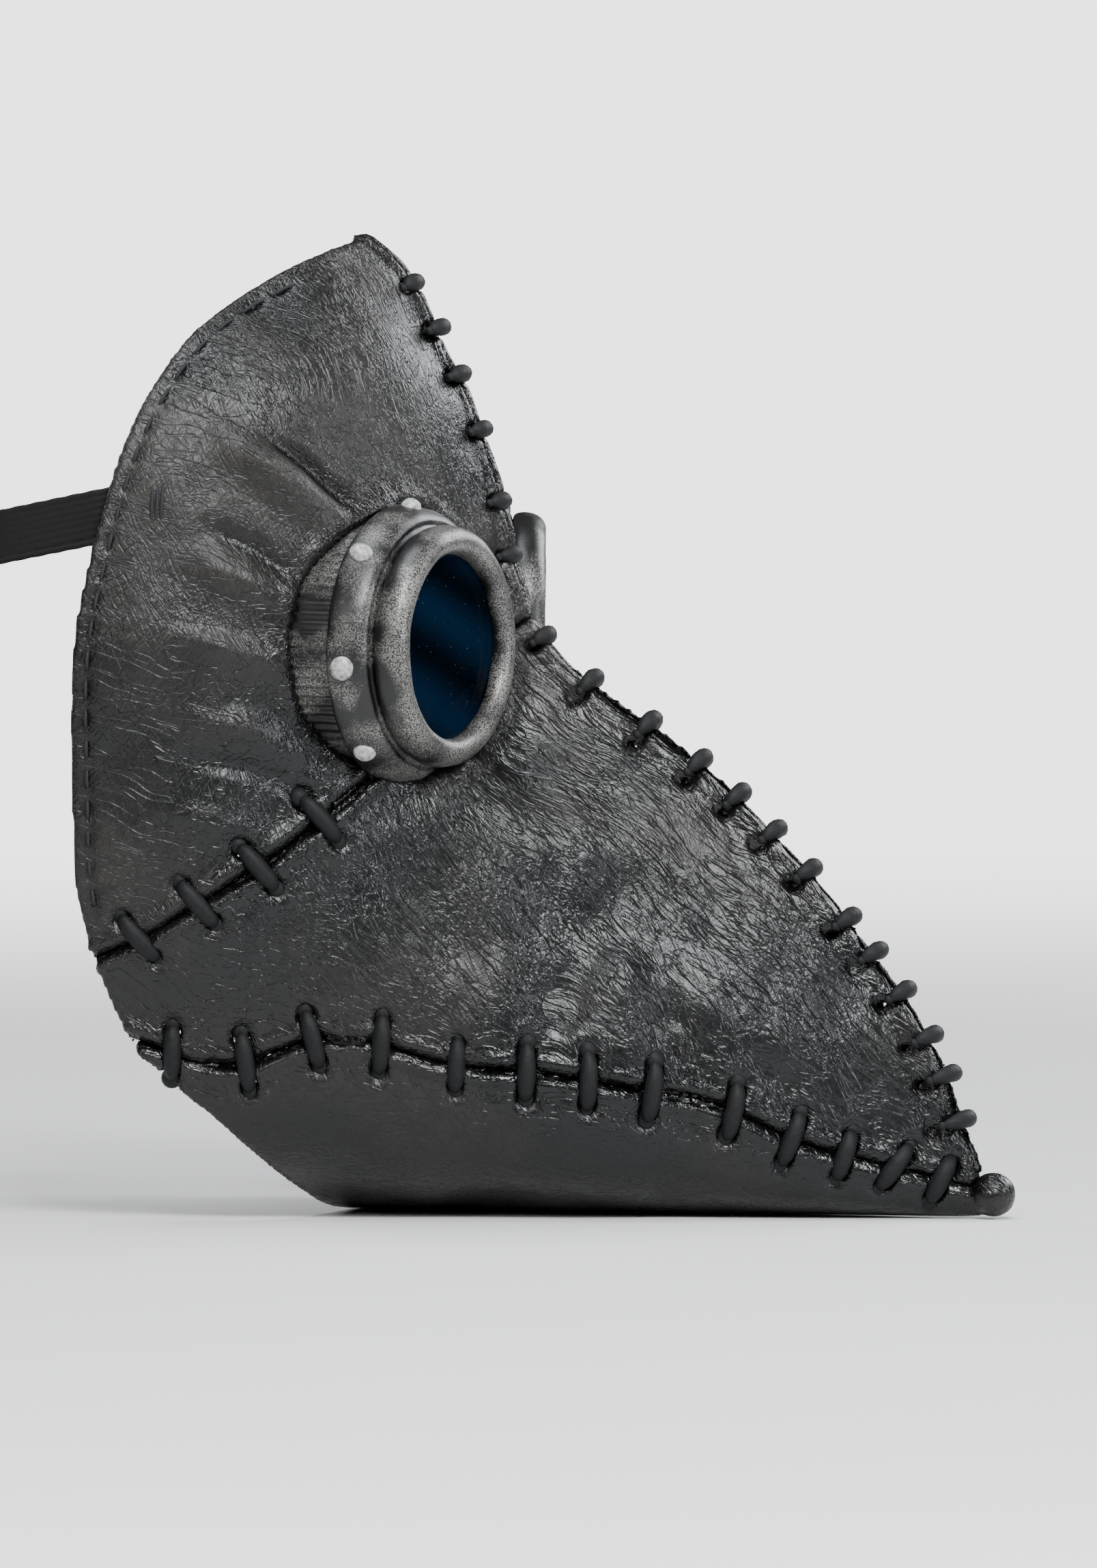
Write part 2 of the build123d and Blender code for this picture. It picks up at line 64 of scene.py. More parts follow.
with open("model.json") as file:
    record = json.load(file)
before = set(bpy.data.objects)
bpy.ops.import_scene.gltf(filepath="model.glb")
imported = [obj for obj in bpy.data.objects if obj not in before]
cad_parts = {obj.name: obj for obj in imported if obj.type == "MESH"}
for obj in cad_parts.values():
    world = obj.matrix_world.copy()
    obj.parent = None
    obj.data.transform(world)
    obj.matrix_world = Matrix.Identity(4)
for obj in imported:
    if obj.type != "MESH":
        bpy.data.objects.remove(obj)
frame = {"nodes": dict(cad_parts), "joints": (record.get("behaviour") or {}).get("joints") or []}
cad_box = [list(corner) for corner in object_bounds()]

MM = 0.001
SIDES = ("right", "left")
TOE_OUT = radians(15)  # how far the goggles face away from straight ahead
RIVET_ANGLES = (5, 52, 90, 136, 187, 228, 318)  # degrees round a goggle, from the nose side up


# Settings
class MaskLeatherSettings(bpy.types.PropertyGroup):
    """Sizes and colours of the leather."""

    cell: bpy.props.FloatProperty(
        name="Mesh Cell", description="Edge length of the skin's mesh",
        default=1.15 * MM, unit="LENGTH", precision=5,
    )
    groove: bpy.props.FloatProperty(
        name="Seam Groove", description="Depth of the groove along a seam",
        default=1.3 * MM, unit="LENGTH", precision=5,
    )
    lip: bpy.props.FloatProperty(
        name="Seam Lip", description="Height of the puckered lip beside a seam",
        default=1.25 * MM, unit="LENGTH", precision=5,
    )
    dark: bpy.props.FloatVectorProperty(
        name="Leather", description="Dye of the leather",
        default=(0.0015, 0.0017, 0.002), subtype="COLOR", min=0, max=1,
    )
    rubbed: bpy.props.FloatVectorProperty(
        name="Rubbed Leather", description="Dry-brushed high spots",
        default=(0.0175, 0.0155, 0.0125), subtype="COLOR", min=0, max=1,
    )


class MaskTrimSettings(bpy.types.PropertyGroup):
    """Sizes and colours of the lacing, goggles and strap."""

    cord_radius: bpy.props.FloatProperty(
        name="Cord Radius", description="Thickest part of a lacing stitch",
        default=2.55 * MM, unit="LENGTH", precision=5,
    )
    thread_radius: bpy.props.FloatProperty(
        name="Thread Radius", description="Sewing thread",
        default=0.5 * MM, unit="LENGTH", precision=5,
    )
    rivet_radius: bpy.props.FloatProperty(
        name="Rivet Radius", description="Radius of a rivet's head",
        default=3.2 * MM, unit="LENGTH", precision=5,
    )
    cord: bpy.props.FloatVectorProperty(
        name="Cord", description="Lacing cord",
        default=(0.0036, 0.0039, 0.0043), subtype="COLOR", min=0, max=1,
    )
    silver: bpy.props.FloatVectorProperty(
        name="Silver", description="Silver rubbed on to the goggles",
        default=(0.27, 0.262, 0.245), subtype="COLOR", min=0, max=1,
    )
    glass: bpy.props.FloatVectorProperty(
        name="Lens", description="Tinted lens",
        default=(0.001, 0.007, 0.019), subtype="COLOR", min=0, max=1,
    )


# Meshes
def object_from(name, mesh, material, body, replaced=()):
    """Link a finished mesh as an object, give it its material, hang it on its body and hide the frame nodes
    that it replaces.
    """
    piece = bpy.data.objects.new(name, mesh)
    bpy.context.collection.objects.link(piece)
    mesh.materials.clear()
    mesh.materials.append(material)
    mesh.polygons.foreach_set("use_smooth", [True] * len(mesh.polygons))
    if body:
        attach(piece, body)
    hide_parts(*replaced)
    return piece


def new_mesh(name, points, faces):
    """A mesh from an array of points and a list of faces."""
    mesh = bpy.data.meshes.new(name)
    mesh.from_pydata([tuple(point) for point in points], [], faces)
    mesh.update()
    return mesh


def points_of(mesh):
    """A mesh's points as an array."""
    flat = np.empty(len(mesh.vertices) * 3)
    mesh.vertices.foreach_get("co", flat)
    return flat.reshape(-1, 3)


def normals_of(mesh):
    """A mesh's point normals as an array."""
    flat = np.empty(len(mesh.vertices) * 3)
    mesh.vertex_normals.foreach_get("vector", flat)
    return flat.reshape(-1, 3)


def set_points(mesh, points):
    """Move a mesh's points."""
    mesh.vertices.foreach_set("co", np.ascontiguousarray(points).ravel())
    mesh.update()


def add_values(mesh, name, values):
    """Store one number for each point."""
    attribute = mesh.attributes.new(name, "FLOAT", "POINT")
    attribute.data.foreach_set("value", np.ascontiguousarray(values, dtype=np.float32))


def applied(mesh, modifiers):
    """A mesh put through a stack of modifiers, given as (type, settings)."""
    holder = bpy.data.objects.new("holder", mesh)
    bpy.context.collection.objects.link(holder)
    for kind, settings in modifiers:
        modifier = holder.modifiers.new(kind.lower(), kind)
        for key, value in settings.items():
            setattr(modifier, key, value)
    graph = bpy.context.evaluated_depsgraph_get()
    result = bpy.data.meshes.new_from_object(holder.evaluated_get(graph))
    bpy.data.objects.remove(holder)
    return result


def islands(node):
    """The separate solids of a frame node, each as an array of its points."""
    mesh = frame["nodes"][node].data
    points = points_of(mesh)
    keys = np.unique(np.round(points / (0.02 * MM)).astype(int), axis=0, return_inverse=True)[1].ravel()
    parent = list(range(keys.max() + 1))

    def root(i):
        while parent[i] != i:
            parent[i] = parent[parent[i]]
            i = parent[i]
        return i

    for edge in mesh.edges:
        a, b = (root(keys[v]) for v in edge.vertices)
        parent[a] = b
    labels = np.array([root(key) for key in keys])
    solids = [points[labels == label] for label in set(labels)]
    return sorted(solids, key=lambda solid: solid[0].tolist())


def lattice_noise(points, size, seed):
    """Smooth noise from -1 to 1 at each point, with features of about a given size."""
    table = np.random.default_rng(seed).uniform(-1, 1, (64, 64, 64))
    place = points / size + 100
    cell = np.floor(place).astype(int)
    t = place - cell
    t = t * t * (3 - 2 * t)
    total = np.zeros(len(points))
    for corner in np.ndindex(2, 2, 2):
        weight = np.prod(np.where(corner, t, 1 - t), axis=1)
        total += weight * table[tuple(((cell + corner) % 64).T)]
    return total


def distance_to_line(flat, line):
    """Distance from flat points to a line of points, and how far along it the nearest place is, 0 to 1."""
    best = np.full(len(flat), np.inf)
    along = np.zeros(len(flat))
    for i, (a, b) in enumerate(zip(line[:-1], line[1:])):
        a, b = np.array(a), np.array(b)
        t = np.clip(((flat - a) @ (b - a)) / ((b - a) @ (b - a)), 0, 1)
        d = np.linalg.norm(flat - a - t[:, None] * (b - a), axis=1)
        nearer = d < best
        best = np.where(nearer, d, best)
        along = np.where(nearer, (i + t) / (len(line) - 1), along)
    return best, along


def bell(distance, width):
    """A smooth bump, 1 at distance 0."""
    return np.exp(-((distance / width) ** 2))


# Node trees
def add_node(tree, kind, inputs=(), **settings):
    """Add a node, set its properties, and set or link inputs given as (name or index, value or socket)."""
    item = tree.nodes.new(kind)
    for key, value in settings.items():
        setattr(item, key, value)
    for key, value in dict(inputs).items():
        if isinstance(value, bpy.types.NodeSocket):
            tree.links.new(value, item.inputs[key])
        else:
            item.inputs[key].default_value = value
    return item


def math_node(tree, operation, *values, clamp=False):
    """A Math node's output."""
    inputs = enumerate(values)
    return add_node(tree, "ShaderNodeMath", inputs, operation=operation, use_clamp=clamp).outputs[0]


def object_place(tree):
    """The place of a point on its own object, in a shader tree."""
    return add_node(tree, "ShaderNodeTexCoord").outputs["Object"]


def stored(tree, name):
    """A value stored on a mesh's points, in a shader tree."""
    return add_node(tree, "ShaderNodeAttribute", attribute_name=name).outputs["Fac"]


def noise(tree, scale, detail, place=None):
    """A Noise Texture node."""
    inputs = [("Scale", scale), ("Detail", detail)]
    return add_node(tree, "ShaderNodeTexNoise", inputs + ([("Vector", place)] if place else []))


def scaled(tree, vector, factor):
    """A vector times a number."""
    inputs = [(0, vector), ("Scale", factor)]
    return add_node(tree, "ShaderNodeVectorMath", inputs, operation="SCALE").outputs[0]


def bump(tree, shader, height, depth, strength):
    """Raise a shader's surface by a height, as bump."""
    item = add_node(tree, "ShaderNodeBump", [("Strength", strength), ("Distance", depth), ("Height", height)])
    tree.links.new(item.outputs[0], shader.inputs["Normal"])


def blend_colours(tree, factor, first, second):
    """A Mix node's colour output."""
    inputs = [(0, factor), (6, first), (7, second)]
    return add_node(tree, "ShaderNodeMix", inputs, data_type="RGBA").outputs[2]


def group_in(tree, group, inputs):
    """Place a shared group in a material."""
    return add_node(tree, "ShaderNodeGroup", inputs.items(), node_tree=bpy.data.node_groups[group])


def roughened(tree, geometry, scale, detail, depth):
    """Geometry pushed in and out along its normals by noise."""
    push = math_node(tree, "SUBTRACT", noise(tree, scale, detail).outputs[0], 0.5)
    normal = add_node(tree, "GeometryNodeInputNormal").outputs[0]
    offset = scaled(tree, normal, math_node(tree, "MULTIPLY", push, depth))
    inputs = [("Geometry", geometry), ("Offset", offset)]
    return add_node(tree, "GeometryNodeSetPosition", inputs).outputs[0]


def finish_tree(tree, geometry, material, output):
    """End a geometry tree: make its instances real and give them their material."""
    real = add_node(tree, "GeometryNodeRealizeInstances", [("Geometry", geometry)]).outputs[0]
    inputs = [("Geometry", real), ("Material", material)]
    tree.links.new(add_node(tree, "GeometryNodeSetMaterial", inputs).outputs[0], output)


def disc_faces(rings, steps):
    """Faces of a disc: a fan round its first point, then bands between its rings of points."""
    faces = [(0, 1 + j, 1 + (j + 1) % steps) for j in range(steps)]
    for i in range(rings - 1):
        for j in range(steps):
            a, b = 1 + i * steps + j, 1 + i * steps + (j + 1) % steps
            faces.append((a, a + steps, b + steps, b))
    return faces


def tree_with(name, kind, inputs, outputs):
    """A node group with named sockets, and its group input and output nodes."""
    tree = bpy.data.node_groups.new(name, kind)
    for label, socket, default in inputs:
        item = tree.interface.new_socket(label, in_out="INPUT", socket_type=socket)
        if default is not None:
            item.default_value = default
    for label, socket in outputs:
        tree.interface.new_socket(label, in_out="OUTPUT", socket_type=socket)
    return tree, tree.nodes.new("NodeGroupInput").outputs, tree.nodes.new("NodeGroupOutput").inputs


def through_nodes(source, tree, values):
    """The mesh that a geometry node tree makes from an object, which is then removed."""
    modifier = source.modifiers.new("maker", "NODES")
    modifier.node_group = tree
    for item in tree.interface.items_tree:
        if item.in_out == "INPUT" and item.name in values:
            modifier[item.identifier] = values[item.name]
    graph = bpy.context.evaluated_depsgraph_get()
    mesh = bpy.data.meshes.new_from_object(source.evaluated_get(graph))
    bpy.data.objects.remove(source)
    return mesh


def cord_tree():
    """Geometry nodes that turn short curves into tapered, slightly uneven cords with a knot at each end."""
    tree, inputs, outputs = tree_with(
        "tapered_cord",
        "GeometryNodeTree",
        [
            ("Curves", "NodeSocketGeometry", None),
            ("Radius", "NodeSocketFloat", 0.002),
            ("Taper", "NodeSocketFloat", 3.0),
            ("Roughness", "NodeSocketFloat", 0.1),
            ("Plug", "NodeSocketFloat", 0.0),
            ("Material", "NodeSocketMaterial", None),
        ],
        [("Mesh", "NodeSocketGeometry")],
    )
    factor = add_node(tree, "GeometryNodeSplineParameter").outputs["Factor"]
    spread = math_node(tree, "ABSOLUTE", math_node(tree, "MULTIPLY_ADD", factor, 2.0, -1.0))
    body = math_node(tree, "SUBTRACT", 1.0, math_node(tree, "POWER", spread, inputs["Taper"]), clamp=True)
    profile = math_node(tree, "MAXIMUM", math_node(tree, "POWER", body, 0.6), 0.14)
    wide = math_node(tree, "MULTIPLY", profile, inputs["Radius"])
    ring = add_node(tree, "GeometryNodeCurvePrimitiveCircle", [("Resolution", 14), ("Radius", 1.0)])
    sized = add_node(tree, "GeometryNodeSetCurveRadius", [("Curve", inputs["Curves"]), ("Radius", wide)])
    swept = add_node(
        tree,
        "GeometryNodeCurveToMesh",
        [("Curve", sized.outputs[0]), ("Profile Curve", ring.outputs[0]), ("Fill Caps", True)],
    )
    tree.links.new(wide, swept.inputs["Scale"])
    depth = math_node(tree, "MULTIPLY", inputs["Roughness"], inputs["Radius"])
    cords = roughened(tree, swept.outputs[0], 420.0, 3.0, depth)
    ends = add_node(tree, "GeometryNodeCurveEndpointSelection").outputs[0]
    ball = add_node(tree, "GeometryNodeMeshUVSphere", [("Segments", 14), ("Rings", 8), ("Radius", 1.0)])
    size = add_node(tree, "ShaderNodeCombineXYZ", [(axis, inputs["Plug"]) for axis in range(3)])
    plugs = add_node(
        tree,
        "GeometryNodeInstanceOnPoints",
        [
            ("Points", inputs["Curves"]),
            ("Selection", ends),
            ("Instance", ball.outputs["Mesh"]),
            ("Scale", size.outputs[0]),
        ],
    )
    both = tree.nodes.new("GeometryNodeJoinGeometry")
    tree.links.new(plugs.outputs[0], both.inputs[0])
    tree.links.new(cords, both.inputs[0])
    finish_tree(tree, both.outputs[0], inputs["Material"], outputs["Mesh"])
    return tree


def crease_group():
    """Shader nodes for one set of long creases: 1 along thin lines and 0 between them."""
    tree, inputs, outputs = tree_with(
        "leather_creases",
        "ShaderNodeTree",
        [
            ("Scale", "NodeSocketFloat", 90.0),
            ("Turn", "NodeSocketVector", (0.0, 0.0, 0.0)),
            ("Stretch", "NodeSocketVector", (1.0, 1.0, 1.0)),
            ("Width", "NodeSocketFloat", 0.05),
        ],
        [("Line", "NodeSocketFloat")],
    )
    place = object_place(tree)
    warp = scaled(tree, noise(tree, 26.0, 2.0, place).outputs["Color"], 0.014)
    bent = add_node(tree, "ShaderNodeVectorMath", [(0, place), (1, warp)], operation="ADD").outputs[0]
    turned = add_node(tree, "ShaderNodeMapping", [("Vector", bent), ("Rotation", inputs["Turn"])]).outputs[0]
    drawn = add_node(tree, "ShaderNodeMapping", [("Vector", turned), ("Scale", inputs["Stretch"])]).outputs[0]
    ground = noise(tree, inputs["Scale"], 2.5, drawn)
    off = math_node(tree, "ABSOLUTE", math_node(tree, "SUBTRACT", ground.outputs[0], 0.5))
    line = math_node(tree, "SUBTRACT", 1.0, math_node(tree, "DIVIDE", off, inputs["Width"]), clamp=True)
    tree.links.new(line, outputs["Line"])
    return tree


def patch_group():
    """Shader nodes for rubbed patches: a soft large mask broken up by grain."""
    tree, inputs, outputs = tree_with(
        "rubbed_patches",
        "ShaderNodeTree",
        [
            ("Patch Scale", "NodeSocketFloat", 14.0),
            ("Grain Scale", "NodeSocketFloat", 1700.0),
            ("Amount", "NodeSocketFloat", 0.5),
        ],
        [("Mask", "NodeSocketFloat"), ("Grain", "NodeSocketFloat")],
    )
    place = object_place(tree)
    large = noise(tree, inputs["Patch Scale"], 4.0, place).outputs[0]
    fine = noise(tree, inputs["Grain Scale"], 3.0, place).outputs[0]
    spread = math_node(tree, "MULTIPLY_ADD", fine, 0.3, math_node(tree, "ADD", large, -0.15))
    level = math_node(tree, "SUBTRACT", spread, math_node(tree, "SUBTRACT", 1.0, inputs["Amount"]))
    mask = math_node(tree, "MULTIPLY", level, 4.5, clamp=True)
    tree.links.new(mask, outputs["Mask"])
    tree.links.new(fine, outputs["Grain"])
    return tree


def new_material(name, colour, roughness):
    """A material with its shader, whose plain values are set on the shader itself."""
    material = bpy.data.materials.new(name)
    material.use_nodes = True
    shader = material.node_tree.nodes["Principled BSDF"]
    shader.inputs["Base Color"].default_value = (*colour, 1)
    shader.inputs["Roughness"].default_value = roughness
    material.diffuse_color = (*colour, 1)
    return material, material.node_tree, shader


# Painted shade: the near-black colour that the leather is darkened towards in its seams, pits and creases.
SHADE_COLOUR = (0.0016, 0.0016, 0.0018, 1)  # leather in its seams, pits and creases


def leather_material(name, dark, rubbed, creases, amount, gloss):
    """Creased, semi-gloss leather: rubbed on its high spots, glossy in its seams, with painted shade
    darkening its seams, pits, creases and the ground round its goggles.
    """
    material, tree, shader = new_material(name, dark, gloss)
    shader.inputs["Specular IOR Level"].default_value = 0.42
    patches = group_in(tree, "rubbed_patches", {"Amount": amount, "Patch Scale": 13.0}).outputs
    shade = stored(tree, "shade")
    joint_shade_and_gloss = stored(tree, "joint_shade_and_gloss")
    place = object_place(tree)
    total = None
    for scale, turn, stretch, width, strength in creases:
        settings = {"Scale": scale, "Turn": turn, "Stretch": stretch, "Width": width}
        line = group_in(tree, "leather_creases", settings).outputs["Line"]
        line = math_node(tree, "MULTIPLY", line, strength)
        total = line if total is None else math_node(tree, "MAXIMUM", total, line)
    cells = [("Vector", place), ("Scale", 900.0)]
    pebble = add_node(tree, "ShaderNodeTexVoronoi", cells, feature="DISTANCE_TO_EDGE").outputs[0]
    pebbles = math_node(tree, "MULTIPLY", math_node(tree, "MINIMUM", pebble, 0.25), 0.6)
    rolling = math_node(tree, "MULTIPLY", noise(tree, 95.0, 5.0, place).outputs[0], 4.0)
    height = math_node(tree, "SUBTRACT", math_node(tree, "ADD", pebbles, rolling), total)
    bump(tree, shader, height, 0.15 * MM, 1.0)
    raised = math_node(tree, "MULTIPLY_ADD", stored(tree, "wear"), 1.3, 0.2)
    # Painted shade: the rubbed colour is held back near the seams and round the goggles.
    unshaded = math_node(tree, "SUBTRACT", 1.0, joint_shade_and_gloss, clamp=True)
    high = math_node(tree, "MULTIPLY", patches["Mask"], raised)
    high = math_node(tree, "MULTIPLY", high, unshaded, clamp=True)
    base = blend_colours(tree, high, (*dark, 1), (*rubbed, 1))
    # Painted shade: the seams, stitch-end pits, hem, goggle rims, inside and crease lines are darkened
    # towards the shade colour.
    shade_share = math_node(tree, "MAXIMUM", math_node(tree, "MULTIPLY", total, 0.8), shade, clamp=True)
    tree.links.new(blend_colours(tree, shade_share, base, SHADE_COLOUR), shader.inputs["Base Color"])
    matt = math_node(tree, "MULTIPLY_ADD", patches["Grain"], 0.2, gloss - 0.1)
    matt = math_node(tree, "MULTIPLY_ADD", high, 0.14, matt)
    matt = math_node(tree, "MULTIPLY_ADD", joint_shade_and_gloss, -0.14, matt, clamp=True)
    tree.links.new(matt, shader.inputs["Roughness"])
    return material


def cord_material(name, colour, roughness, grain_scale, depth):
    """Waxed cord, thread or knitted elastic: matt, with a fine grain."""
    material, tree, shader = new_material(name, colour, roughness)
    shader.inputs["Specular IOR Level"].default_value = 0.25
    grain = noise(tree, grain_scale, 4.0, object_place(tree)).outputs[0]
    paler = tuple(min(1, value * 2.1) for value in colour)
    factor = math_node(tree, "MULTIPLY_ADD", grain, 1.8, -0.45, clamp=True)
    tree.links.new(blend_colours(tree, factor, (*colour, 1), (*paler, 1)), shader.inputs["Base Color"])
    bump(tree, shader, grain, depth, 0.7)
    return material


def metal_material(name, silver, amount, depth):
    """Black paint with grainy strokes of silver, heaviest where the wear attribute is high."""
    black = (0.004, 0.004, 0.0043)
    material, tree, shader = new_material(name, black, 0.45)
    settings = {"Patch Scale": 75.0, "Grain Scale": 2400.0, "Amount": amount}
    patches = group_in(tree, "rubbed_patches", settings).outputs
    worn = math_node(tree, "MULTIPLY_ADD", stored(tree, "wear"), 1.1, -0.62)
    fleck = math_node(tree, "MULTIPLY_ADD", patches["Grain"], 5.0, -2.05, clamp=True)
    mask = math_node(tree, "MULTIPLY", math_node(tree, "ADD", patches["Mask"], worn), fleck, clamp=True)
    tree.links.new(blend_colours(tree, mask, (*black, 1), (*silver, 1)), shader.inputs["Base Color"])
    tree.links.new(math_node(tree, "MULTIPLY", mask, 0.75), shader.inputs["Metallic"])
    tree.links.new(math_node(tree, "MULTIPLY_ADD", mask, 0.1, 0.36), shader.inputs["Roughness"])
    bump(tree, shader, patches["Grain"], depth, 0.6)
    return material


def lens_material(tint):
    """A dark tinted lens with two darker bands, a painted reflection, and a few specks of dust."""
    material, tree, shader = new_material("tinted_lens", tint, 0.06)
    shader.inputs["IOR"].default_value = 1.07
    place = object_place(tree)
    lean = add_node(tree, "ShaderNodeMapping", [("Vector", place), ("Rotation", (0.0, 0.6, 0.0))]).outputs[0]
    waves = [("Vector", lean), ("Scale", 21.0), ("Distortion", 2.0), ("Detail Scale", 0.6)]
    reflected_bands = add_node(tree, "ShaderNodeTexWave", waves).outputs["Fac"]
    dust = math_node(tree, "SUBTRACT", noise(tree, 1400.0, 1.0, place).outputs[0], 0.76)
    speck = math_node(tree, "MULTIPLY", dust, 20.0, clamp=True)
    # Painted reflection: two darker bands across the tint.
    colour = blend_colours(tree, reflected_bands, (0.0005, 0.0014, 0.003, 1), (*tint, 1))
    colour = blend_colours(tree, speck, colour, (0.12, 0.13, 0.14, 1))
    tree.links.new(colour, shader.inputs["Base Color"])
    return material


def rivet_material():
    """Matt, silver-white, pitted paint."""
    material, tree, shader = new_material("rivet_silver", (0.56, 0.56, 0.54), 0.5)
    shader.inputs["Metallic"].default_value = 0.25
    pits = noise(tree, 800.0, 4.0, object_place(tree)).outputs[0]
    factor = math_node(tree, "MULTIPLY_ADD", pits, 3.0, -0.75, clamp=True)
    colour = blend_colours(tree, factor, (0.12, 0.12, 0.12, 1), (0.46, 0.46, 0.45, 1))
    tree.links.new(colour, shader.inputs["Base Color"])
    bump(tree, shader, pits, 0.3 * MM, 0.7)
    return material


# Leather
# Folds of the skin seen from the side: its line of (x, z), its half-width and its height, in millimetres.
FOLDS = (
    (((40, 56), (52, 48), (64, 36)), 4.8, 3.4),
    (((50, 57), (60, 50), (71, 38)), 2.2, -2.4),
    (((33, 25), (44, 20), (58, 12)), 4.0, 1.7),
    (((36, 34), (48, 28), (60, 19)), 2.4, -1.2),
    (((30, 4), (42, 1), (54, -4)), 3.5, 1.3),
    (((34, -20), (48, -22), (64, -32)), 4.2, 1.6),
    (((32, -30), (48, -33), (68, -42)), 2.4, -1.3),
    (((26, -44), (40, -48), (58, -54)), 4.0, 1.1),
    (((122, -92), (134, -104)), 7.0, -2.4),
    (((150, -98), (166, -116)), 8.0, -2.6),
    (((138, -84), (150, -100)), 6.0, 1.3),
    (((176, -112), (190, -126)), 6.0, -1.6),
    (((86, -60), (104, -92)), 8.0, -1.3),
    (((84, 70), (78, 88), (66, 98)), 7.0, -1.0),
)


FOLD_GAIN = 1.4


def nearest(points, nodes):
    """The place on some frame nodes nearest to each point, and how far away it is."""
    best = np.full(len(points), np.inf)
    places = points.copy()
    for node in nodes:
        mesh = frame["nodes"][node].data
        tree = BVHTree.FromPolygons([v.co for v in mesh.vertices], [p.vertices for p in mesh.polygons])
        hits = [tree.find_nearest(Vector(point)) for point in points]
        away = np.array([hit[3] for hit in hits])
        nearer = away < best
        places[nearer] = np.array([hit[0][:] for hit in hits])[nearer]
        best = np.minimum(best, away)
    return places, best


def panel_mesh(node, cell):
    """A leather panel's frame solid, remeshed evenly and softened."""
    return applied(
        frame["nodes"][node].data.copy(),
        [
            ("WELD", {"merge_threshold": 0.005 * MM}),
            ("REMESH", {"mode": "VOXEL", "voxel_size": cell}),
            ("SMOOTH", {"factor": 0.5, "iterations": 5}),
        ],
    )


def outer_share(points, normals):
    """1 on the outside of the mask, falling to 0 on its inside and cut edges."""
    heart = points - (40 * MM, 0, 0)
    heart[:, 1] = 0
    heart[:, 2] = np.clip(points[:, 2], -112 * MM, 60 * MM)
    outward = points - heart
    outward /= np.linalg.norm(outward, axis=1)[:, None]
    return np.clip(np.einsum("ij,ij->i", normals, outward) * 2.2, 0, 1)


def close_seam(points, normals, neighbours):
    """Push a panel's cut edges up against its neighbours, and measure how far off they were."""
    meeting, seam = nearest(points, neighbours)
    towards = (meeting - points) / np.maximum(seam, 0.01 * MM)[:, None]
    facing = np.clip(np.einsum("ij,ij->i", normals, towards) * 1.5, 0, 1)
    reach = np.clip(1.9 - seam / (1.1 * MM), 0, 1.2) * facing
    return points + (meeting - points) * reach[:, None], seam


def distance_to_any(points, targets):
    """Distance from each point to the nearest of a few targets."""
    return np.min([np.linalg.norm(points - target, axis=1) for target in targets], axis=0)


def wrinkles(points, around, wobble):
    """Height of the gathered skin round a goggle and of the wrinkles that run out from it."""
    centre, nose, up, _ = goggle_axes("right" if points[:, 1].mean() < 0 else "left")
    turn = np.arctan2((points - centre) @ up, (points - centre) @ nose)
    spokes = lattice_noise(np.stack((turn * 9 * MM, around * 0.18, 0 * turn), 1), 1.25 * MM, 7)
    below = 0.35 + 0.65 * bell(np.abs(turn + radians(95)), radians(85))
    gathers = bell(around - 2.6 * MM, 2.2 * MM) * 0.7 * MM * wobble
    return gathers + bell(around - 7 * MM, 9 * MM) * spokes * 0.9 * MM * below


def puckers(points, seam, stitches, wobble, settings):
    """Height of a seam's groove and lips, pressed flat under its stitches and dimpled at their ends."""
    lip = bell(seam - 2.9 * MM, 1.7 * MM) * settings.lip * wobble
    under = bell(distance_to_any(points, [middle for _, middle, _ in stitches]), 3.2 * MM)
    height = (lip - bell(seam, 1.35 * MM) * settings.groove) * (1 - 0.65 * under)
    for first, _, last in stitches:
        for end in (first, last):
            away = np.linalg.norm(points - end, axis=1)
            height -= bell(away, 2.3 * MM) * MM
            height += bell(away - 4.6 * MM, 1.7 * MM) * 0.4 * MM * wobble
    return height


def folds(points, wobble):
    """Height of the named folds."""
    height = np.zeros(len(points))
    for line, width, rise in FOLDS:
        away, along = distance_to_line(points[:, (0, 2)] / MM, line)
        swell = np.sin(pi * (0.12 + 0.76 * along)) * (0.8 + 0.2 * wobble)
        height += FOLD_GAIN * bell(away, width) * rise * MM * swell
    return height


